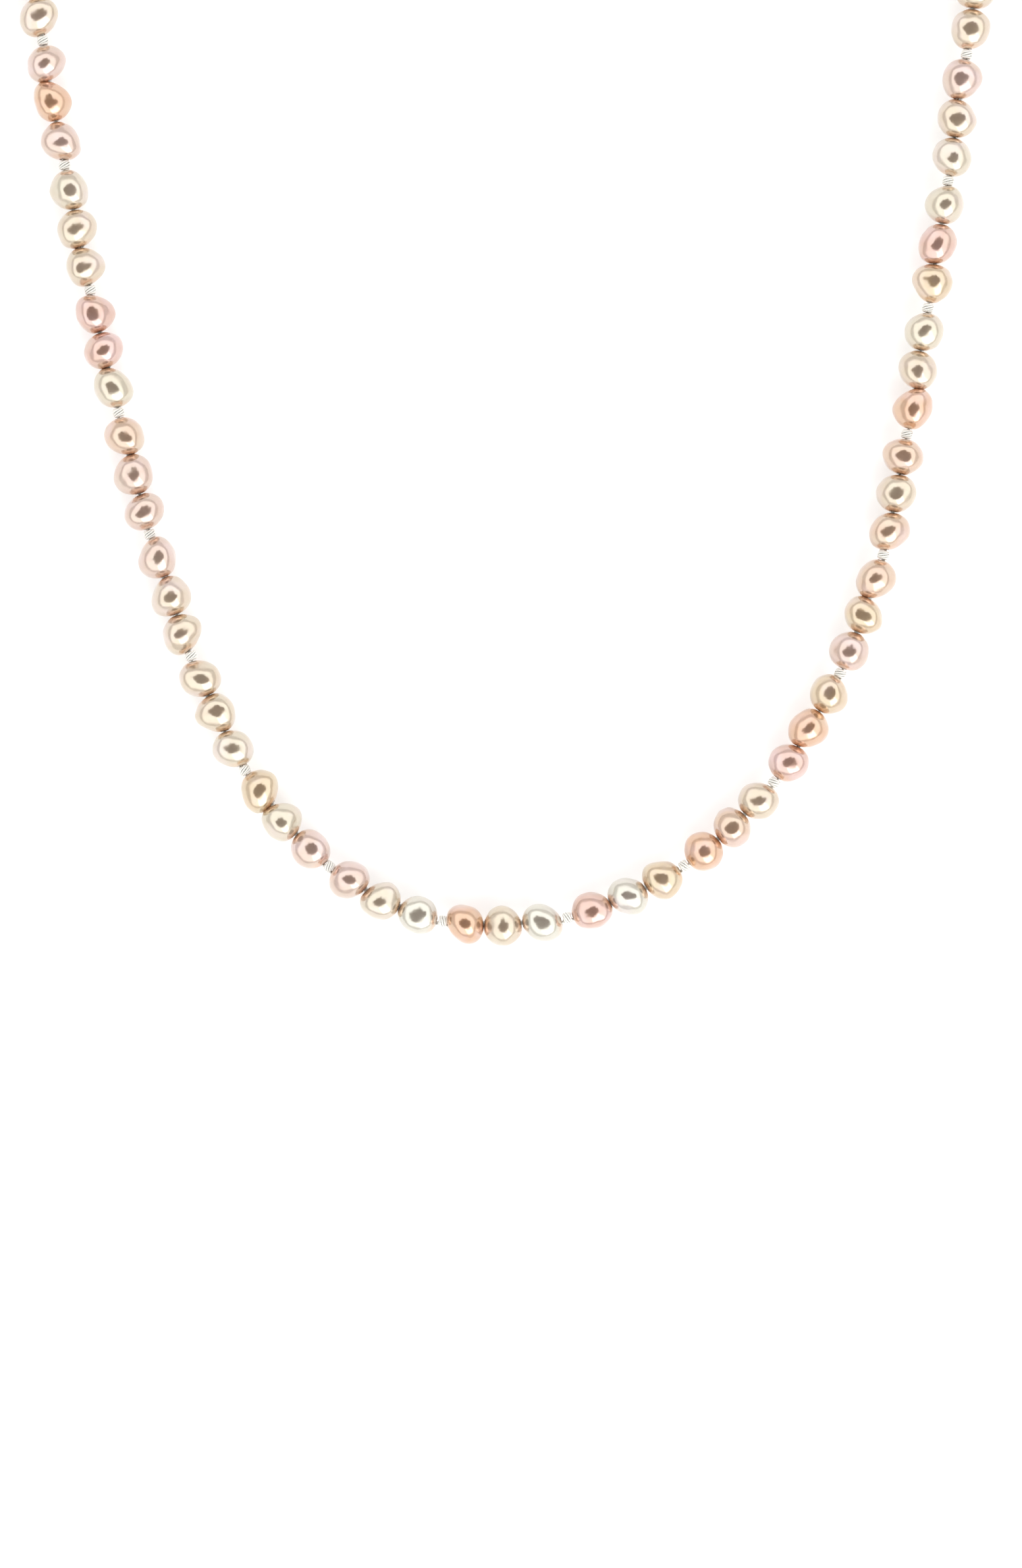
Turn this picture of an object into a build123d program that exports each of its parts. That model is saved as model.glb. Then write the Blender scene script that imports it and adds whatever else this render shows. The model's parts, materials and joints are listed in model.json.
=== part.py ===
"""Knotted pearl necklace with a lobster claw clasp, unfastened and laid out flat as an open U.

Seventy-five drilled freshwater pearls sit on one silk thread in trios, with a silk knot after
every trio. Each end of the thread passes through a loop of bullion (fine coiled silver wire):
one loop carries the closed end ring, the other a jump ring with the lobster claw.

Millimetres. +Z is up, the strand lies on z = 0 and the origin is under the middle pearl. The
arms of the U run towards +Y. Left is -X, right is +X, and pieces are numbered from left to right.
"""

from build123d import *
import os
from math import cos, radians, sin

os.makedirs("parts", exist_ok=True)

# ---------------------------------------------------------------- driving dimensions, mm and degrees
PEARL_WIDTH = 5.45  # across the drilled hole
PEARL_LENGTH = 5.2  # along the drilled hole
PEARL_TOUCH = 0.05  # left between neighbours that touch
THREAD_WIDTH = 0.54  # the doubled silk
HOLE_CLEARANCE = 0.18  # thread to hole wall, all round
KNOT_LENGTH = 1.2
KNOT_WIDTH = 1.66
KNOT_PLAY = 0.1  # knot to the pearl on each side
KNOT_CLEARANCE = 0.03  # thread to the knot that is drawn tight on it
WRAP_WIDTH = 0.6  # the yarn bundle of the knot's middle wrap
SIDE_WRAP_WIDTH = 0.46
SIDE_WRAP_OUT = 0.24  # a side wrap's middle, from the thread's middle
WRAP_NECK = 0.36  # half the knot's width where a side wrap meets the middle one

# Each shape of pearl as its width and length against the nominal pearl, and how far its widest
# place lies towards its right end, as a share of half the length.
SHAPES = {
    "round": (1.00, 1.00, 0.00),
    "oval": (0.97, 1.06, 0.00),
    "button": (1.03, 0.94, 0.00),
    "drop": (1.00, 1.02, 0.16),
    "egg": (0.99, 1.02, -0.16),
}
# The stringer's plan, one trio after another from the left end.
STRINGING = [
    "round oval round",
    "egg round button",
    "round drop oval",
    "oval round round",
    "button oval drop",
    "oval round round",
    "round button oval",
    "round oval button",
    "oval drop round",
    "round egg round",
    "drop round oval",
    "round round oval",
    "button round oval",
    "oval round egg",
    "round button round",
    "round oval round",
    "egg button oval",
    "round round button",
    "oval round round",
    "drop oval round",
    "round round oval",
    "oval egg round",
    "round oval button",
    "round drop round",
    "oval round round",
]

# How the strand lies: for each arm, stretches from the middle outwards as a length, in trios with
# their knots, and the angle that it turns through. The last turn is shared by what is left.
RIGHT_ARM = [(1.5, 32), (1.5, 25), (2, 21), (2, 1), (2, 1)]
LEFT_ARM = [(1.5, 42), (1.5, 26), (2, 10), (2, 2), (2, 4)]
LAST_TURN = 2
MIDDLE_HEADING = 2  # degrees that the right arm sets off above +X

BULLION_WIDTH = 0.9  # outside of the coil
BULLION_WALL = 0.15
BULLION_SHANK_GAP = 0.2  # between the loop's two shanks, where they leave the knot
BULLION_SHANK_RADIUS = 2.5
BULLION_SHANK_TURN = 40
BULLION_PLAY = 0.05  # knot to the loop's cut ends
LINK_CLEARANCE = 0.05  # between linked pieces where they bear on each other

END_RING_WIDTH = 5.3
END_RING_WIRE = 0.8
JUMP_RING_WIDTH = 4.6
JUMP_RING_WIRE = 0.7
JUMP_RING_CUT = 2  # degrees of the ring, where its ends meet

CLAW_THICKNESS = 2.4
CLAW_EDGE = 0.45  # fillet all round the claw's outline
EYE_WIDTH = 3.0
EYE_HOLE = 1.7
EYE_THICKNESS = 1.2
EYE_BEARING = 0.19  # jump ring to the eye's wall
NECK_WIDTH = 1.8  # of the claw's body, where it joins the eye
NECK_AT = 1.8  # from the eye's middle
HOOK_AT = 7.6  # the hook's middle, from the eye's middle
HOOK_WIDTH = 6.4
HOOK_INSIDE = 3.8
HOOK_TIP_AT = 1.75  # from the hook's middle, along the claw
CHEEK_END_AT = 5.4  # the end of the two cheeks, from the eye's middle
LEVER_THICKNESS = 1.0
LEVER_INSIDE = 4.0
LEVER_OUTSIDE = 5.8
LEVER_TIP_GAP = 0.2
LEVER_SIDE_CLEARANCE = 0.05
HEEL_WIDTH = 2.0
HEEL_CLEARANCE = 0.15
THUMB_WIDTH = 1.2
PIVOT = (4.9, 1.75)  # of the lever, in the claw's own plane
THUMB = (5.9, 2.75)  # the middle of the lever's thumb rest
POCKET = (3.6, 0.4)  # the inner corner of the slot between the two cheeks
POCKET_LENGTH = 2.8
RIVET_WIDTH = 0.7
RIVET_RUNNING_CLEARANCE = 0.03
RIVET_HEAD_WIDTH = 1.1
RIVET_HEAD_HEIGHT = 0.12
SPRING_STRIP = 0.12
SPRING_WIDTH = 0.8
SPRING_BEND = ((0.15, 1.55), (0.4, 0.45), (1.5, 0.16))  # start, middle and end, from POCKET

# ---------------------------------------------------------------- worked out from them
HOLE_WIDTH = THREAD_WIDTH + 2 * HOLE_CLEARANCE
KNOT_SPACE = KNOT_LENGTH + 2 * KNOT_PLAY
PITCH = 3 * PEARL_LENGTH + 2 * PEARL_TOUCH + KNOT_SPACE
TRIOS = [row.split() for row in STRINGING]
MIDDLE_TRIO = len(TRIOS) // 2
STRAND_HEIGHT = PEARL_WIDTH * max(width for width, length, skew in SHAPES.values()) / 2


def lengths_along():
    """Where each pearl starts and ends along the strand, and each knot's middle, from the middle
    of the middle pearl: [trio][pearl] -> (start, end), and [knot] -> middle."""
    at = 0.0
    pearls = []
    knots = [-KNOT_SPACE / 2]
    for trio in TRIOS:
        row = []
        for shape in trio:
            length = PEARL_LENGTH * SHAPES[shape][1]
            row.append((at, at + length))
            at += length + PEARL_TOUCH
        at += KNOT_SPACE - PEARL_TOUCH
        knots.append(at - KNOT_SPACE / 2)
        pearls.append(row)
    middle = sum(pearls[MIDDLE_TRIO][1]) / 2
    pearls = [[(start - middle, end - middle) for start, end in row] for row in pearls]
    return pearls, [knot - middle for knot in knots]


PEARLS_ALONG, KNOTS_ALONG = lengths_along()


def arm_line(stretches, length, side):
    """The line of one arm, from the middle outwards, as tangent arcs. side is 1 right, -1 left."""
    heading = radians(MIDDLE_HEADING)
    tangent = (side * cos(heading), side * sin(heading))
    done = sum(share for share, turn in stretches) * PITCH
    runs = [(share * PITCH, turn) for share, turn in stretches] + [(length - done, LAST_TURN)]
    with BuildLine() as arm:
        start = (0, 0)
        for run, turn in runs:
            bend = JernArc(start, tangent, run / radians(turn), side * turn)
            start = bend @ 1
            tangent = bend % 1
    return Wire(arm.edges())


RIGHT_LENGTH = KNOTS_ALONG[-1] + KNOT_LENGTH / 2
LEFT_LENGTH = -KNOTS_ALONG[0] + KNOT_LENGTH / 2
RIGHT_LINE = arm_line(RIGHT_ARM, RIGHT_LENGTH, 1)
LEFT_LINE = arm_line(LEFT_ARM, LEFT_LENGTH, -1)


def place(along):
    """The point of the strand's line at a length from its middle, at the strand's height."""
    line = RIGHT_LINE if along >= 0 else LEFT_LINE
    point = line.position_at(abs(along), position_mode=PositionMode.LENGTH)
    return Vector(point.X, point.Y, STRAND_HEIGHT)


def plane_between(start, end):
    """A flat-lying plane midway between two lengths along the strand, its x along the strand."""
    first, last = place(start), place(end)
    return Plane(origin=(first + last) / 2, x_dir=last - first, z_dir=(0, 0, 1))


def write(piece, name):
    piece.part.label = name
    export_step(piece.part, f"parts/{name}.step")


# ---------------------------------------------------------------- pearls
def pearl_half(width, length, skew):
    """Half of a pearl's section beside its drilled hole: two quarter ellipses that share the
    pearl's widest place."""
    widest = skew * length / 2
    with BuildLine() as outline:
        right = EllipticalCenterArc((widest, 0), length / 2 - widest, width / 2, 0, arc_size=90)
        left = EllipticalCenterArc((widest, 0), length / 2 + widest, width / 2, 90, arc_size=90)
        Line(left @ 1, right @ 0)
    make_face(outline.edges())
    Rectangle(2 * length, HOLE_WIDTH, mode=Mode.SUBTRACT)


for number, (shapes, spans) in enumerate(zip(TRIOS, PEARLS_ALONG), start=1):
    with BuildPart() as trio:
        for shape, (start, end) in zip(shapes, spans):
            share_width, share_length, skew = SHAPES[shape]
            lie = plane_between(start, end)
            drilled = (place(end) - place(start)).length
            with BuildSketch(lie):
                pearl_half(PEARL_WIDTH * share_width, drilled, skew)
            revolve(axis=Axis(lie.origin, lie.x_dir))
    write(trio, f"trio_{number:02d}")

# ---------------------------------------------------------------- silk knots
# A full wrap in the middle and a smaller one each side of it, drawn tight round the thread.
KNOT_BORE = THREAD_WIDTH + 2 * KNOT_CLEARANCE
SIDE_WRAP_AT = (KNOT_LENGTH - SIDE_WRAP_WIDTH) / 2

for number, along in enumerate(KNOTS_ALONG, start=1):
    lie = plane_between(along - KNOT_LENGTH / 2, along + KNOT_LENGTH / 2)
    with BuildPart() as knot:
        with BuildSketch(lie):
            with Locations((0, (KNOT_WIDTH - WRAP_WIDTH) / 2)):
                Circle(WRAP_WIDTH / 2)
            with Locations((-SIDE_WRAP_AT, SIDE_WRAP_OUT), (SIDE_WRAP_AT, SIDE_WRAP_OUT)):
                Circle(SIDE_WRAP_WIDTH / 2)
            Rectangle(2 * SIDE_WRAP_AT, WRAP_NECK, align=(Align.CENTER, Align.MIN))
            Rectangle(2 * KNOT_LENGTH, KNOT_BORE, mode=Mode.SUBTRACT)
            Rectangle(2 * KNOT_LENGTH, KNOT_WIDTH, align=(Align.CENTER, Align.MAX), mode=Mode.SUBTRACT)
        revolve(axis=Axis(lie.origin, lie.x_dir))
    write(knot, f"knot_{number:02d}")

# ---------------------------------------------------------------- silk thread and bullion loops
LOOP_START = KNOT_LENGTH / 2 + BULLION_PLAY  # from the end knot's middle
SHANK_AT = (BULLION_WIDTH + BULLION_SHANK_GAP) / 2
SHANK_SIN = sin(radians(BULLION_SHANK_TURN))
SHANK_COS = cos(radians(BULLION_SHANK_TURN))
LOOP_RADIUS = (SHANK_AT + BULLION_SHANK_RADIUS * (1 - SHANK_COS)) / SHANK_COS
LOOP_MIDDLE = LOOP_START + (BULLION_SHANK_RADIUS + LOOP_RADIUS) * SHANK_SIN
LOOP_END = LOOP_MIDDLE + LOOP_RADIUS  # the middle of the wire at the loop's far end
BULLION_BORE = BULLION_WIDTH - 2 * BULLION_WALL
LOOP_THREAD = BULLION_BORE - 2 * KNOT_CLEARANCE


def end_plane(along):
    """A flat-lying plane at an end knot's middle, its x pointing out of the strand."""
    outwards = 1 if along > 0 else -1
    inner = place(along - outwards * KNOT_LENGTH / 2)
    outer = place(along + outwards * KNOT_LENGTH / 2)
    return Plane(origin=(inner + outer) / 2, x_dir=outer - inner, z_dir=(0, 0, 1))


def loop_line(end):
    """The middle line of a bullion loop: two shanks that curve apart, and a round end."""
    with BuildLine(end) as loop:
        shank = JernArc((LOOP_START, -SHANK_AT), (1, 0), BULLION_SHANK_RADIUS, -BULLION_SHANK_TURN)
        bow = JernArc(shank @ 1, shank % 1, LOOP_RADIUS, 180 + 2 * BULLION_SHANK_TURN)
        JernArc(bow @ 1, bow % 1, BULLION_SHANK_RADIUS, -BULLION_SHANK_TURN)
    return Wire(loop.edges())


LEFT_END = end_plane(KNOTS_ALONG[0])
RIGHT_END = end_plane(KNOTS_ALONG[-1])

with BuildPart() as silk_thread:
    strand = Wire(LEFT_LINE.edges() + RIGHT_LINE.edges()).moved(Location((0, 0, STRAND_HEIGHT)))
    with BuildSketch(Plane(origin=strand @ 0, z_dir=strand % 0)):
        Circle(THREAD_WIDTH / 2)
    sweep(path=strand)
    for end in (LEFT_END, RIGHT_END):
        loop = loop_line(end)
        with BuildSketch(Plane(origin=loop @ 0, z_dir=loop % 0)):
            Circle(LOOP_THREAD / 2)
        sweep(path=loop)
write(silk_thread, "silk_thread")

for side, end in (("left", LEFT_END), ("right", RIGHT_END)):
    with BuildPart() as bullion:
        loop = loop_line(end)
        with BuildSketch(Plane(origin=loop @ 0, z_dir=loop % 0)):
            Circle(BULLION_WIDTH / 2)
            Circle(BULLION_BORE / 2, mode=Mode.SUBTRACT)
        sweep(path=loop)
    write(bullion, f"bullion_{side}")


# ---------------------------------------------------------------- rings
def ring_centre(width, wire):
    """How far out from the end knot a ring's middle is, when the ring bears on a bullion loop."""
    bearing = LOOP_END - (BULLION_WIDTH + wire) / 2 - LINK_CLEARANCE
    return bearing + (width - wire) / 2


def standing(end, along):
    """An upright plane across the strand's end plane, at a length out from the end knot."""
    return Plane(origin=end.origin + end.x_dir * along, x_dir=end.x_dir, z_dir=-end.y_dir)


with BuildPart() as end_ring:
    with Locations(standing(LEFT_END, ring_centre(END_RING_WIDTH, END_RING_WIRE))):
        Torus((END_RING_WIDTH - END_RING_WIRE) / 2, END_RING_WIRE / 2)
write(end_ring, "end_ring")

JUMP_AT = ring_centre(JUMP_RING_WIDTH, JUMP_RING_WIRE)
with BuildPart() as jump_ring:
    ring = standing(RIGHT_END, JUMP_AT)
    with BuildSketch(Plane(origin=ring.origin, x_dir=ring.y_dir, z_dir=-ring.x_dir)):
        with Locations(((JUMP_RING_WIDTH - JUMP_RING_WIRE) / 2, 0)):
            Circle(JUMP_RING_WIRE / 2)
    revolve(axis=Axis(ring.origin, ring.z_dir), revolution_arc=360 - JUMP_RING_CUT)
write(jump_ring, "jump_ring")

# ---------------------------------------------------------------- lobster claw
# Its own plane has the eye's middle as origin, x along the claw and y towards the gate.
JUMP_FAR_WIRE = JUMP_AT + (JUMP_RING_WIDTH - JUMP_RING_WIRE) / 2
EYE_AT = JUMP_FAR_WIRE - JUMP_RING_WIRE / 2 - EYE_BEARING + EYE_HOLE / 2
CLAW = Plane(origin=RIGHT_END.origin + RIGHT_END.x_dir * EYE_AT, x_dir=RIGHT_END.x_dir, z_dir=(0, 0, 1))

with BuildPart() as claw_body:
    with BuildSketch(CLAW):
        with Locations((NECK_AT, 0)):
            Circle(NECK_WIDTH / 2)
        with Locations((HOOK_AT, 0)):
            Circle(HOOK_WIDTH / 2)
        make_hull()
        with Locations((HOOK_AT, 0)):
            Circle(HOOK_INSIDE / 2, mode=Mode.SUBTRACT)
        with Locations((CHEEK_END_AT, 0)):
            gate = HOOK_AT + HOOK_TIP_AT - CHEEK_END_AT
            Rectangle(gate, HOOK_WIDTH, align=(Align.MIN, Align.MIN), mode=Mode.SUBTRACT)
    extrude(amount=CLAW_THICKNESS / 2, both=True)
    rims = claw_body.faces().filter_by(Axis.Z).edges()
    fillet(rims, radius=CLAW_EDGE)
    with BuildSketch(CLAW):
        Circle(EYE_WIDTH / 2)
        with Locations((NECK_AT / 2, 0)):
            Rectangle(NECK_AT, NECK_WIDTH)
        Circle(EYE_HOLE / 2, mode=Mode.SUBTRACT)
    extrude(amount=EYE_THICKNESS / 2, both=True)
    with BuildSketch(CLAW):
        with Locations(POCKET):
            Rectangle(POCKET_LENGTH, HOOK_WIDTH, align=(Align.MIN, Align.MIN))
    pocket_height = LEVER_THICKNESS + 2 * LEVER_SIDE_CLEARANCE
    extrude(amount=pocket_height / 2, both=True, mode=Mode.SUBTRACT)
    with BuildSketch(CLAW):
        with Locations(PIVOT):
            Circle(RIVET_WIDTH / 2)
    extrude(amount=CLAW_THICKNESS, both=True, mode=Mode.SUBTRACT)
write(claw_body, "claw_body")

with BuildPart() as claw_lever:
    with BuildSketch(CLAW):
        with Locations((HOOK_AT, 0)):
            Circle(LEVER_OUTSIDE / 2)
            Circle(LEVER_INSIDE / 2, mode=Mode.SUBTRACT)
            Rectangle(HOOK_WIDTH, HOOK_WIDTH, align=(Align.CENTER, Align.MAX), mode=Mode.SUBTRACT)
        with Locations((HOOK_AT + HOOK_TIP_AT - LEVER_TIP_GAP, 0)):
            Rectangle(HOOK_WIDTH, HOOK_WIDTH, align=(Align.MIN, Align.MIN), mode=Mode.SUBTRACT)
        with Locations((PIVOT[0], 0)):
            Rectangle(HOOK_WIDTH, HOOK_WIDTH, align=(Align.MAX, Align.MIN), mode=Mode.SUBTRACT)
        Rectangle(HOOK_AT, PIVOT[1] - HEEL_WIDTH / 2, align=(Align.MIN, Align.MIN), mode=Mode.SUBTRACT)
        with Locations(PIVOT):
            Circle(HEEL_WIDTH / 2)
        with Locations(THUMB):
            Circle(THUMB_WIDTH / 2)
        with Locations(PIVOT):
            Circle(RIVET_WIDTH / 2 + RIVET_RUNNING_CLEARANCE, mode=Mode.SUBTRACT)
    extrude(amount=LEVER_THICKNESS / 2, both=True)
write(claw_lever, "claw_lever")

with BuildPart() as claw_rivet:
    with BuildSketch(CLAW):
        with Locations(PIVOT):
            Circle(RIVET_WIDTH / 2)
    extrude(amount=CLAW_THICKNESS / 2 + RIVET_HEAD_HEIGHT, both=True)
    for facing in (1, -1):
        with BuildSketch(CLAW.offset(facing * CLAW_THICKNESS / 2)):
            with Locations(PIVOT):
                Circle(RIVET_HEAD_WIDTH / 2)
        extrude(amount=facing * RIVET_HEAD_HEIGHT)
write(claw_rivet, "claw_rivet")

with BuildPart() as lever_spring:
    with BuildSketch(CLAW):
        with BuildLine():
            ThreePointArc(*(Vector(POCKET) + Vector(point) for point in SPRING_BEND))
        trace(line_width=SPRING_STRIP)
    extrude(amount=SPRING_WIDTH / 2, both=True)
write(lever_spring, "lever_spring")
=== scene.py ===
"""The looks of a knotted pearl necklace that lies flat and unfastened: its nacre, silk and silver."""

import json
import random
from math import ceil, cos, pi, radians, sin

import bpy
import numpy as np
from mathutils import Matrix, Vector


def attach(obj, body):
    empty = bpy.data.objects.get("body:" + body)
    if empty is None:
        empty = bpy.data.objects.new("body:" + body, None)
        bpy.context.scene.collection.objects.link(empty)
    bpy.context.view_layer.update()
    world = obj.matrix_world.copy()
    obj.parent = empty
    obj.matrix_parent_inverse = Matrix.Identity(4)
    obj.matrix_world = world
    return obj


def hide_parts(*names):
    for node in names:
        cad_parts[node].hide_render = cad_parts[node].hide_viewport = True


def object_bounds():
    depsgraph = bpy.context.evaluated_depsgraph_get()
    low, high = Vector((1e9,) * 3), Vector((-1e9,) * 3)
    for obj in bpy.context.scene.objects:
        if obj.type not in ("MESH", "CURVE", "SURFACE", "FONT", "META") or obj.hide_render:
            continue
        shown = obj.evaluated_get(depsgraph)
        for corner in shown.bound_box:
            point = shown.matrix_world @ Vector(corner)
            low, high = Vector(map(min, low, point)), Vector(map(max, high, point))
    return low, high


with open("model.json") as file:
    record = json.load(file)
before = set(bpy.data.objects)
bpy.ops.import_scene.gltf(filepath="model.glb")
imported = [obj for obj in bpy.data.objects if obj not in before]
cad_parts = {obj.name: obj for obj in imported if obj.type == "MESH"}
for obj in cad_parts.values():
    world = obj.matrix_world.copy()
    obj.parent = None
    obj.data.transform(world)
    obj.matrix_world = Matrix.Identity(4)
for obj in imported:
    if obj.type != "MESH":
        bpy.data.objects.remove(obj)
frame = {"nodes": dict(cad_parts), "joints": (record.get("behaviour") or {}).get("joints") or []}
CAD_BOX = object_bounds()

MM = 0.001
UP = np.array((0.0, 0.0, 1.0))
NODES = frame["nodes"]
JOINTS = {joint["name"]: joint for joint in frame["joints"]}
TRIOS = sorted(name for name in NODES if name.startswith("trio_"))
KNOTS = sorted(name for name in NODES if name.startswith("knot_"))

# ---------------------------------------------------------------- driving sizes, mm and degrees
HOLE_WIDTH = 0.9
THREAD_WIDTH = 0.54
THREAD_LAY = 2.4  # one full turn of the silk's two plies
KNOT_LENGTH = 1.2
KNOT_WIDTH = 1.66
KNOT_YARN = 0.24
KNOT_WRAPS = 8
KNOT_CROSSINGS = 5
BULLION_WIDTH = 0.9
BULLION_WIRE = 0.12
BULLION_PITCH = 0.17
BULLION_SHANK_GAP = 0.2
BULLION_SHANK_RADIUS = 2.5
BULLION_SHANK_TURN = 40
BULLION_PLAY = 0.05
LOOP_THREAD = 0.5
PEARL_SIZE = 5.3  # a middling pearl, for what is set on the sphere that they all start from
HOLE_RIM = 0.05  # the softened edge of a drill hole
LUMP_SIZE = 2.6
LUMP_HEIGHT = 0.32

CAMERA_OVER = (1.1, 19.4)
CAMERA_HEIGHT = 801

# Each pearl's tone, trio by trio from the left end.
TONES = """
    cream peach blush        champagne cream apricot  ivory peach cream
    rose champagne cream     blush apricot blush      ivory cream cream
    rose rose ivory          peach blush blush        blush cream cream
    cream cream ivory        champagne ivory blush    blush ivory white
    apricot cream white      rose white champagne     apricot peach cream
    rose apricot champagne   blush champagne peach    peach cream peach
    apricot cream ivory      champagne rose ivory     ivory cream blush
    cream cream peach        cream rose ivory         peach cream blush
    champagne apricot cream
""".split()


# ---------------------------------------------------------------- small helpers
def only(*things):
    """Selects these objects and nothing else. The first is the active one."""
    bpy.ops.object.select_all(action="DESELECT")
    for thing in things:
        thing.select_set(True)
    bpy.context.view_layer.objects.active = things[0]


def copy_of(thing, name):
    """A copy with its own mesh."""
    twin = thing.copy()
    twin.data = thing.data.copy()
    twin.name = name
    bpy.context.scene.collection.objects.link(twin)
    return twin


def points_of(thing):
    flat = np.empty(3 * len(thing.data.vertices), np.float32)
    thing.data.vertices.foreach_get("co", flat)
    return flat.reshape(-1, 3).astype(float)


def add_modifier(thing, kind, **settings):
    made = thing.modifiers.new(kind.title(), kind)
    for name, value in settings.items():
        setattr(made, name, value)
    return made


def apply_modifiers(thing):
    only(thing)
    for modifier in list(thing.modifiers):
        bpy.ops.object.modifier_apply(modifier=modifier.name)


def apply_place(thing):
    only(thing)
    bpy.ops.object.transform_apply(location=True, rotation=True, scale=True)


def tubes(name, lines, radius, sides, closed=False):
    """One mesh of round tubes, each along its own line of points."""
    curve = bpy.data.curves.new(name, "CURVE")
    curve.dimensions = "3D"
    curve.bevel_depth = radius
    curve.bevel_resolution = sides // 2 - 2
    curve.use_fill_caps = not closed
    for line in lines:
        spline = curve.splines.new("POLY")
        spline.points.add(len(line) - 1)
        spline.points.foreach_set("co", np.column_stack([line, np.ones(len(line))]).ravel())
        spline.use_cyclic_u = closed
    made = bpy.data.objects.new(name, curve)
    bpy.context.scene.collection.objects.link(made)
    only(made)
    bpy.ops.object.convert(target="MESH")
    made = bpy.context.object
    bpy.ops.object.mode_set(mode="EDIT")
    bpy.ops.mesh.select_all(action="SELECT")
    bpy.ops.mesh.remove_doubles(threshold=0.001 * MM)
    bpy.ops.mesh.normals_make_consistent(inside=False)
    bpy.ops.object.mode_set(mode="OBJECT")
    bpy.ops.object.shade_smooth()
    return made


def wound(path, radius, pitch, steps, start=0.0):
    """A helix round a path that lies flat, with a number of steps to each turn."""
    along = np.concatenate([[0.0], np.cumsum(np.linalg.norm(np.diff(path, axis=0), axis=1))])
    at = np.linspace(0, along[-1], ceil(along[-1] / pitch * steps) + 1)
    middle = np.column_stack([np.interp(at, along, path[:, axis]) for axis in range(3)])
    forward = np.gradient(middle, axis=0)
    side = np.cross(UP, forward)
    side /= np.linalg.norm(side, axis=1)[:, None]
    turn = 2 * pi * at / pitch + start
    return middle + radius * (np.cos(turn)[:, None] * side + np.sin(turn)[:, None] * UP)


# ---------------------------------------------------------------- materials
def linear(code, alpha=1.0):
    """A colour for a shader, from its sRGB hex value."""
    parts = [int(code[at : at + 2], 16) / 255 for at in (1, 3, 5)]
    return (*(p / 12.92 if p <= 0.04045 else ((p + 0.055) / 1.055) ** 2.4 for p in parts), alpha)


def add(tree, kind, inputs=(), **settings):
    """Adds a node with its settings. Each input is given a value, or the output that feeds it."""
    node = tree.nodes.new(kind)
    for name, value in settings.items():
        setattr(node, name, value)
    for name, value in dict(inputs).items():
        if isinstance(value, bpy.types.NodeSocket):
            tree.links.new(value, node.inputs[name])
        else:
            node.inputs[name].default_value = value
    return node


def surface(name, **constants):
    """A new material: the material, its tree, its shader and the piece's own coordinates."""
    made = bpy.data.materials.new(name)
    made.use_nodes = True
    tree = made.node_tree
    shader = tree.nodes["Principled BSDF"]
    for socket, value in constants.items():
        shader.inputs[socket.replace("_", " ")].default_value = value
    coordinates = add(tree, "ShaderNodeTexCoord").outputs["Object"]
    return made, tree, shader, coordinates


def per_mm(size):
    """The scale of a pattern whose features are this many millimetres across."""
    return 1 / (size * MM)


BODY_COLOURS = {
    "white": "#c5beb0",
    "ivory": "#c3b59f",
    "cream": "#c3b098",
    "champagne": "#c3ab8a",
    "peach": "#c4a58c",
    "apricot": "#c69b79",
    "blush": "#c3a898",
    "rose": "#c39d8b",
}


def nacre(tone):
    """Freshwater nacre: thin aragonite layers, so a deep satin mirror under a clear skin. Its body
    colour drifts towards lilac and pale green in soft patches. By the drill holes it is painted a
    warmer, deeper tone: painted shade and warm bounced light where the neighbouring pearls meet."""
    made, tree, shader, place = surface(
        f"nacre_{tone}",
        Metallic=0.68,
        IOR=1.56,
        Coat_Weight=1.0,
        Coat_Roughness=0.14,
        Coat_IOR=1.9,  # above nacre's own 1.53 to 1.69, to give the bright ring
    )
    patches = add(
        tree, "ShaderNodeTexNoise", {"Vector": place, "Scale": per_mm(3.2), "Detail": 1.5}
    )
    lilac = add(
        tree,
        "ShaderNodeMapRange",
        {"Value": patches.outputs["Fac"], "From Min": 0.5, "From Max": 0.75, "To Max": 0.3},
    )
    green = add(
        tree,
        "ShaderNodeMapRange",
        {"Value": patches.outputs["Fac"], "From Min": 0.5, "From Max": 0.28, "To Max": 0.18},
    )
    body = linear(BODY_COLOURS[tone])
    warmed = add(
        tree,
        "ShaderNodeMix",
        {0: lilac.outputs["Result"], 6: body, 7: linear("#d6c2cc")},
        data_type="RGBA",
    )
    cooled = add(
        tree,
        "ShaderNodeMix",
        {0: green.outputs["Result"], 6: warmed.outputs[2], 7: linear("#ccd0ba")},
        data_type="RGBA",
    )
    # Painted shade and warm bounced light: towards the drill holes, where neighbouring pearls meet,
    # the body colour is mixed a fifth of the way towards warm orange.
    by_hole = add(tree, "ShaderNodeAttribute", attribute_name="by_hole")
    depth = add(
        tree, "ShaderNodeMath", {0: by_hole.outputs["Fac"], 1: 0.2}, operation="MULTIPLY"
    )
    with_contact_shade = add(
        tree,
        "ShaderNodeMix",
        {0: depth.outputs[0], 6: cooled.outputs[2], 7: linear("#ffb56c")},
        data_type="RGBA",
    )
    growth = add(
        tree, "ShaderNodeTexNoise", {"Vector": place, "Scale": per_mm(0.7), "Detail": 3.0}
    )
    satin = add(
        tree,
        "ShaderNodeMapRange",
        {
            "Value": growth.outputs["Fac"],
            "From Min": 0.3,
            "From Max": 0.7,
            "To Min": 0.17,
            "To Max": 0.27,
        },
    )
    bump = add(
        tree,
        "ShaderNodeBump",
        {"Height": growth.outputs["Fac"], "Strength": 0.5, "Distance": 0.03 * MM},
    )
    tree.links.new(with_contact_shade.outputs[2], shader.inputs["Base Color"])
    tree.links.new(satin.outputs["Result"], shader.inputs["Roughness"])
    tree.links.new(bump.outputs["Normal"], shader.inputs["Normal"])
    return made


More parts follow.
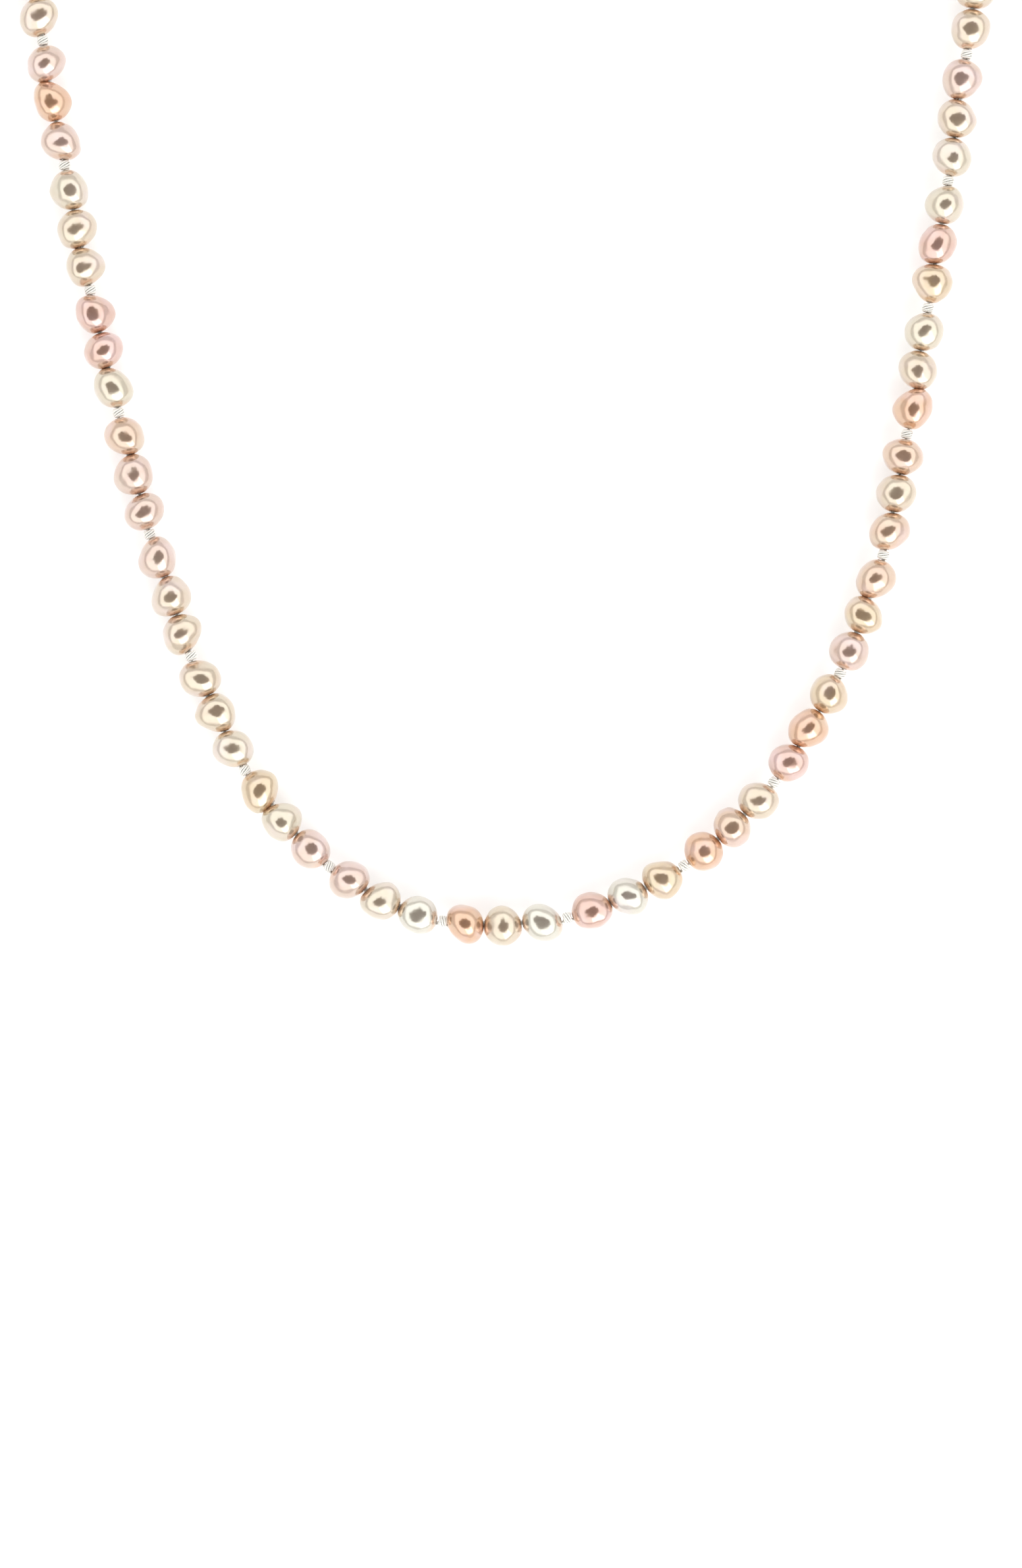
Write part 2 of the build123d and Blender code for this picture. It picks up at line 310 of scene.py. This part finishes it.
def silk():
    """Undyed twisted silk: soft off-white with a slight sheen along its fibres."""
    made, tree, shader, place = surface(
        "silk_twisted", Sheen_Weight=0.35, Sheen_Roughness=0.4, IOR=1.54, Specular_IOR_Level=0.35
    )
    fibres = add(
        tree, "ShaderNodeTexNoise", {"Vector": place, "Scale": per_mm(0.12), "Detail": 2.0}
    )
    shade = add(
        tree,
        "ShaderNodeMix",
        {0: fibres.outputs["Fac"], 6: linear("#eceae0"), 7: linear("#fdfdfa")},
        data_type="RGBA",
    )
    bump = add(
        tree,
        "ShaderNodeBump",
        {"Height": fibres.outputs["Fac"], "Strength": 0.6, "Distance": 0.02 * MM},
    )
    tree.links.new(shade.outputs[2], shader.inputs["Base Color"])
    tree.links.new(bump.outputs["Normal"], shader.inputs["Normal"])
    shader.inputs["Roughness"].default_value = 0.62
    return made


def silver(name, rough, wear):
    """Polished sterling silver, with the fine swirls that a polishing cloth leaves."""
    made, tree, shader, place = surface(name, Metallic=1.0)
    swirls = add(
        tree,
        "ShaderNodeTexNoise",
        {"Vector": place, "Scale": per_mm(0.35), "Detail": 4.0, "Distortion": 1.2},
    )
    tone = add(
        tree,
        "ShaderNodeMix",
        {0: swirls.outputs["Fac"], 6: linear("#c6c3bc"), 7: linear("#e4e1da")},
        data_type="RGBA",
    )
    polish = add(
        tree,
        "ShaderNodeMapRange",
        {
            "Value": swirls.outputs["Fac"],
            "From Min": 0.3,
            "From Max": 0.7,
            "To Min": rough,
            "To Max": rough + wear,
        },
    )
    bump = add(
        tree,
        "ShaderNodeBump",
        {"Height": swirls.outputs["Fac"], "Strength": 0.25, "Distance": 0.01 * MM},
    )
    tree.links.new(tone.outputs[2], shader.inputs["Base Color"])
    tree.links.new(polish.outputs["Result"], shader.inputs["Roughness"])
    tree.links.new(bump.outputs["Normal"], shader.inputs["Normal"])
    return made


def spring_steel():
    """Rolled spring steel strip: a darker grey than silver, with the drawn lines of rolling."""
    made, tree, shader, place = surface("spring_steel_rolled", Metallic=1.0)
    stretched = add(tree, "ShaderNodeMapping", {"Vector": place, "Scale": (1.0, 0.1, 1.0)})
    lines = add(
        tree,
        "ShaderNodeTexNoise",
        {"Vector": stretched.outputs["Vector"], "Scale": per_mm(0.06), "Detail": 2.0},
    )
    tone = add(
        tree,
        "ShaderNodeMix",
        {0: lines.outputs["Fac"], 6: linear("#8f8e8a"), 7: linear("#c6c4bf")},
        data_type="RGBA",
    )
    finish = add(
        tree,
        "ShaderNodeMapRange",
        {"Value": lines.outputs["Fac"], "To Min": 0.22, "To Max": 0.4},
    )
    tree.links.new(tone.outputs[2], shader.inputs["Base Color"])
    tree.links.new(finish.outputs["Result"], shader.inputs["Roughness"])
    return made


# ---------------------------------------------------------------- pearls
def select_where(thing, test):
    """Selects the vertices whose place passes a test, and stays in edit mode."""
    bpy.ops.object.mode_set(mode="EDIT")
    bpy.ops.mesh.select_mode(type="VERT")
    bpy.ops.mesh.select_all(action="DESELECT")
    bpy.ops.object.mode_set(mode="OBJECT")
    for vertex in thing.data.vertices:
        vertex.select = test(vertex.co)
    bpy.ops.object.mode_set(mode="EDIT")


def drilled_sphere():
    """A sphere 1 across with a hole along X and softened edges to it, which every pearl starts
    from. "by_hole" rises from 0 to 1 towards the hole's ends and places the painted shade and warm
    bounced light there, and "skin" falls."""
    bpy.ops.object.select_all(action="DESELECT")
    bpy.ops.mesh.primitive_uv_sphere_add(segments=64, ring_count=42, radius=0.5)
    master = bpy.context.object
    master.name = "pearl_master"
    hole = HOLE_WIDTH / PEARL_SIZE / 2
    select_where(master, lambda place: place.xy.length < hole)
    bpy.ops.mesh.delete(type="VERT")
    bpy.ops.object.mode_set(mode="OBJECT")
    ring = min(vertex.co.xy.length for vertex in master.data.vertices)
    select_where(master, lambda place: place.xy.length < 1.01 * ring)
    bpy.ops.transform.resize(value=(hole / ring, hole / ring, 1))
    bpy.ops.mesh.select_mode(type="EDGE")
    bpy.ops.mesh.bridge_edge_loops()
    bpy.ops.object.mode_set(mode="OBJECT")
    select_where(master, lambda place: place.xy.length < 1.01 * hole)
    bpy.ops.mesh.select_mode(type="EDGE")
    bpy.ops.mesh.region_to_loop()
    bpy.ops.mesh.bevel(offset=HOLE_RIM / PEARL_SIZE, segments=2, affect="EDGES")
    bpy.ops.mesh.select_all(action="SELECT")
    bpy.ops.mesh.normals_make_consistent(inside=False)
    bpy.ops.transform.rotate(value=pi / 2, orient_axis="Y", center_override=(0, 0, 0))
    bpy.ops.mesh.select_mode(type="VERT")
    bpy.ops.object.mode_set(mode="OBJECT")
    bpy.ops.object.shade_smooth()
    near = np.clip((np.abs(points_of(master)[:, 0]) - 0.33) / 0.15, 0, 1)
    near = near * near * (3 - 2 * near)
    skin = master.vertex_groups.new(name="skin")
    for index, share in enumerate(near):
        skin.add([index], 1 - share, "REPLACE")
    # Where the nacre is given its painted shade and warm bounced light, by the drill holes.
    by_hole = master.data.attributes.new("by_hole", "FLOAT", "POINT")
    by_hole.data.foreach_set("value", near)
    return master


def pearls_of(trio, forward):
    """For each pearl of a CAD trio, in order along forward: the middles of its hole's two ends,
    its width, and how far its widest place lies from the middle, as a share of its length."""
    whole = copy_of(NODES[trio], "measured")
    whole.parent = None
    only(whole)
    bpy.ops.object.mode_set(mode="EDIT")
    bpy.ops.mesh.select_all(action="SELECT")
    bpy.ops.mesh.remove_doubles(threshold=0.001 * MM)
    bpy.ops.mesh.separate(type="LOOSE")
    bpy.ops.object.mode_set(mode="OBJECT")
    found = []
    for solid in list(bpy.context.selected_objects):
        points = points_of(solid)
        middle = (points.min(0) + points.max(0)) / 2
        axis = forward
        for _ in range(2):
            along = (points - middle) @ axis
            out = np.linalg.norm(points - middle - np.outer(along, axis), axis=1)
            rim = out < 0.75 * HOLE_WIDTH * MM
            first = points[rim & (along < 0)].mean(0)
            last = points[rim & (along > 0)].mean(0)
            middle = (first + last) / 2
            axis = (last - first) / np.linalg.norm(last - first)
        widest = along[out > 0.999 * out.max()].mean() / np.linalg.norm(last - first)
        found.append((first, last, 2 * out.max(), widest))
        bpy.data.meshes.remove(solid.data)
    return sorted(found, key=lambda pearl: pearl[0] @ forward)


def make_pearl(name, master, place, tone, chance):
    """One pearl, fitted between the ends of its drilled hole and given its own uneven shape."""
    first, last, width, widest = place
    pearl = copy_of(master, name)
    lean = chance.uniform(-0.16, 0.16)
    point = chance.choice((0.1, 0.16, 0.25, 0.4)) * chance.choice((-1, 1))
    only(pearl)
    add_modifier(
        pearl, "SIMPLE_DEFORM", deform_method="TAPER", deform_axis="X", factor=4 * widest
    )
    add_modifier(
        pearl, "SIMPLE_DEFORM", deform_method="TAPER", deform_axis="Y", factor=point
    )
    apply_modifiers(pearl)
    pearl.data.transform(Matrix(((1, lean, 0, 0), (0, 1, 0, 0), (0, 0, 1, 0), (0, 0, 0, 1))))
    axis = last - first
    length = np.linalg.norm(axis)
    side_width = width * chance.uniform(0.97, 1.01)
    height = width * chance.uniform(0.94, 0.98)
    roll = chance.choice((0, pi)) + radians(chance.uniform(-25, 25))
    pearl.scale = (length / HOLE_SPAN, side_width, height)
    pearl.rotation_euler = (roll, 0, np.arctan2(axis[1], axis[0]))
    pearl.location = (first + last) / 2
    apply_place(pearl)
    add_modifier(
        pearl,
        "DISPLACE",
        texture=LUMPS,
        texture_coords="LOCAL",
        strength=LUMP_HEIGHT * MM,
        mid_level=0.5,
        vertex_group="skin",
    )
    apply_modifiers(pearl)
    pearl.data.materials.clear()
    pearl.data.materials.append(tone)
    return pearl


# ---------------------------------------------------------------- silk
def make_knot(name, centre, outwards):
    """A knot drawn tight: yarn that wraps the thread and crosses itself, outside to inside."""
    depth = 4 / 3 * KNOT_YARN * MM  # how far the yarn dips as it crosses itself
    middle = (KNOT_WIDTH - KNOT_YARN) * MM / 2 - depth / 2
    reach = (KNOT_LENGTH - KNOT_YARN) * MM / 2
    turns = np.linspace(0, 2 * pi, 30 * KNOT_WRAPS, endpoint=False)
    round_thread = KNOT_WRAPS * turns
    section = KNOT_CROSSINGS * turns
    out = middle + depth / 2 * np.cos(section)
    side = np.cross(UP, outwards)
    line = (
        centre
        + np.outer(reach * np.sin(section), outwards)
        + np.outer(out * np.cos(round_thread), side)
        + np.outer(out * np.sin(round_thread), UP)
    )
    return tubes(name, [line], KNOT_YARN * MM / 2, 6, closed=True)


def make_thread(name, stops):
    """A run of two-ply silk through these points."""
    ply = THREAD_WIDTH * MM / 4
    lines = [wound(np.array(stops), ply, THREAD_LAY * MM, 12, start) for start in (0, pi)]
    return tubes(name, lines, ply, 6)


def loop_path(centre, outwards):
    """The middle line of a bullion loop: two shanks that curve apart, and a round end."""
    shank_at = (BULLION_WIDTH + BULLION_SHANK_GAP) / 2
    turn = radians(BULLION_SHANK_TURN)
    bow = (shank_at + BULLION_SHANK_RADIUS * (1 - cos(turn))) / cos(turn)
    at = Vector((KNOT_LENGTH / 2 + BULLION_PLAY, -shank_at))
    heading = 0.0
    flat = [at.copy()]
    shank = (BULLION_SHANK_RADIUS, -turn)
    for radius, bend in (shank, (bow, pi + 2 * turn), shank):
        steps = ceil(abs(bend) / radians(5))
        for _ in range(steps):
            heading += bend / steps / 2
            at += Vector((cos(heading), sin(heading))) * 2 * radius * sin(abs(bend) / steps / 2)
            heading += bend / steps / 2
            flat.append(at.copy())
    side = np.cross(UP, outwards)
    return np.array([centre + MM * (x * outwards + y * side) for x, y in flat])


# ---------------------------------------------------------------- camera, light and floor
STRAND_MIDDLE = CAD_BOX[1].z / 2
camera_data = bpy.data.cameras.new("camera")
camera_data.lens = 135
camera = bpy.data.objects.new("camera", camera_data)
bpy.context.scene.collection.objects.link(camera)
camera.location = (CAMERA_OVER[0] * MM, CAMERA_OVER[1] * MM, CAMERA_HEIGHT * MM + STRAND_MIDDLE)
bpy.context.scene.camera = camera


def soft_light(name, place, size, power, tilt=(0, 0, 0)):
    """A square softbox, which faces straight down unless it is tilted."""
    data = bpy.data.lights.new(name, "AREA")
    data.shape = "SQUARE"
    data.size = size
    data.energy = power
    data.color = (0.94, 0.98, 1.0)
    lamp = bpy.data.objects.new(name, data)
    lamp.location = place
    lamp.rotation_euler = tilt
    lamp.visible_camera = False
    bpy.context.scene.collection.objects.link(lamp)


def studio():
    """A white table under a broad softbox and a small key, with the dark of the camera overhead."""
    scene = bpy.context.scene
    scene.view_settings.view_transform = "Standard"
    world = bpy.data.worlds.new("studio")
    world.use_nodes = True
    world.node_tree.nodes["Background"].inputs["Color"].default_value = linear("#f4f4f4")
    world.node_tree.nodes["Background"].inputs["Strength"].default_value = 1.0
    scene.world = world
    soft_light("softbox", (0.3, -0.35, 1.1), 6.0, 125.0)
    soft_light("key", (0.35, -0.55, 0.5), 0.7, 3.0, (radians(48), 0, radians(32)))

    bpy.ops.object.select_all(action="DESELECT")
    bpy.ops.mesh.primitive_plane_add(size=14, location=(0, 0, -0.0002))
    floor = bpy.context.object
    floor.name = "table_top"
    made, tree, shader, place = surface("paper_white", Roughness=0.9, Specular_IOR_Level=0.2)
    fibre = add(tree, "ShaderNodeTexNoise", {"Vector": place, "Scale": per_mm(0.8), "Detail": 3.0})
    white = add(
        tree,
        "ShaderNodeMix",
        {0: fibre.outputs["Fac"], 6: linear("#f2f2f2"), 7: linear("#f6f6f6")},
        data_type="RGBA",
    )
    tree.links.new(white.outputs[2], shader.inputs["Base Color"])
    shader.inputs["Emission Color"].default_value = (1, 1, 1, 1)
    shader.inputs["Emission Strength"].default_value = 0.25
    floor.data.materials.append(made)

    bpy.ops.object.select_all(action="DESELECT")
    bpy.ops.mesh.primitive_circle_add(
        vertices=28, radius=0.69, fill_type="NGON", location=(0, 0, 0.83)
    )
    card = bpy.context.object
    card.name = "camera_shade"
    chance = random.Random(4)
    for vertex in card.data.vertices:
        vertex.co *= chance.uniform(0.75, 1.15)
    made, tree, shader, place = surface("shade_brown", Roughness=0.9)
    shader.inputs["Base Color"].default_value = linear("#2a1c18")
    shader.inputs["Emission Color"].default_value = linear("#8c6450")
    shader.inputs["Emission Strength"].default_value = 0.3
    card.data.materials.append(made)
    card.visible_camera = False


studio()

# ---------------------------------------------------------------- the necklace
LUMPS = bpy.data.textures.new("lumps", "CLOUDS")
LUMPS.noise_scale = LUMP_SIZE * MM
LUMPS.noise_depth = 1

NACRE = {tone: nacre(tone) for tone in BODY_COLOURS}
SILK = silk()
SILVER = silver("silver_polished", 0.1, 0.1)
BULLION = silver("silver_drawn_wire", 0.2, 0.12)
STEEL = spring_steel()

# Each knot's middle, and the way that the strand runs outwards from the middle trio there.
knot_centres = [np.array(JOINTS[f"{knot}_side"]["pos_m"]) for knot in KNOTS]
knot_outwards = [np.cross(UP, JOINTS[f"{knot}_lift"]["axis"]) for knot in KNOTS]

master = drilled_sphere()
HOLE_SPAN = np.ptp(points_of(master)[:, 0])
chance = random.Random(11)
tones = iter(TONES)
number = 0
for trio, start, end in zip(TRIOS, knot_centres, knot_centres[1:]):
    forward = (end - start) / np.linalg.norm(end - start)
    stops = [start]
    for place in pearls_of(trio, forward):
        number += 1
        pearl = make_pearl(f"pearl_{number:02d}", master, place, NACRE[next(tones)], chance)
        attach(pearl, trio)
        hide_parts(trio)
        stops += place[:2]
    run = make_thread(trio.replace("trio", "thread"), [*stops, end])
    run.data.materials.append(SILK)
    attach(run, trio)
    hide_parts("silk_thread")
bpy.data.meshes.remove(master.data)

for knot, centre, outwards in zip(KNOTS, knot_centres, knot_outwards):
    wraps = make_knot(knot.replace("knot", "silk_knot"), centre, outwards)
    wraps.data.materials.append(SILK)
    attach(wraps, knot)
    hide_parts(knot)

for side, end in (("left", 0), ("right", -1)):
    path = loop_path(knot_centres[end], knot_outwards[end])
    coil = tubes(
        f"bullion_coil_{side}",
        [wound(path, (BULLION_WIDTH - BULLION_WIRE) * MM / 2, BULLION_PITCH * MM, 14)],
        BULLION_WIRE * MM / 2,
        6,
    )
    coil.data.materials.append(BULLION)
    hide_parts(f"bullion_{side}")
    turn = tubes(f"thread_loop_{side}", [path], LOOP_THREAD * MM / 2, 10)
    turn.data.materials.append(SILK)
    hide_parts("silk_thread")
    for piece in (coil, turn):
        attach(piece, f"bullion_{side}")

for name, finish in (
    ("end_ring", SILVER),
    ("jump_ring", SILVER),
    ("claw_body", SILVER),
    ("claw_lever", SILVER),
    ("claw_rivet", SILVER),
    ("lever_spring", STEEL),
):
    NODES[name].data.materials.clear()
    NODES[name].data.materials.append(finish)
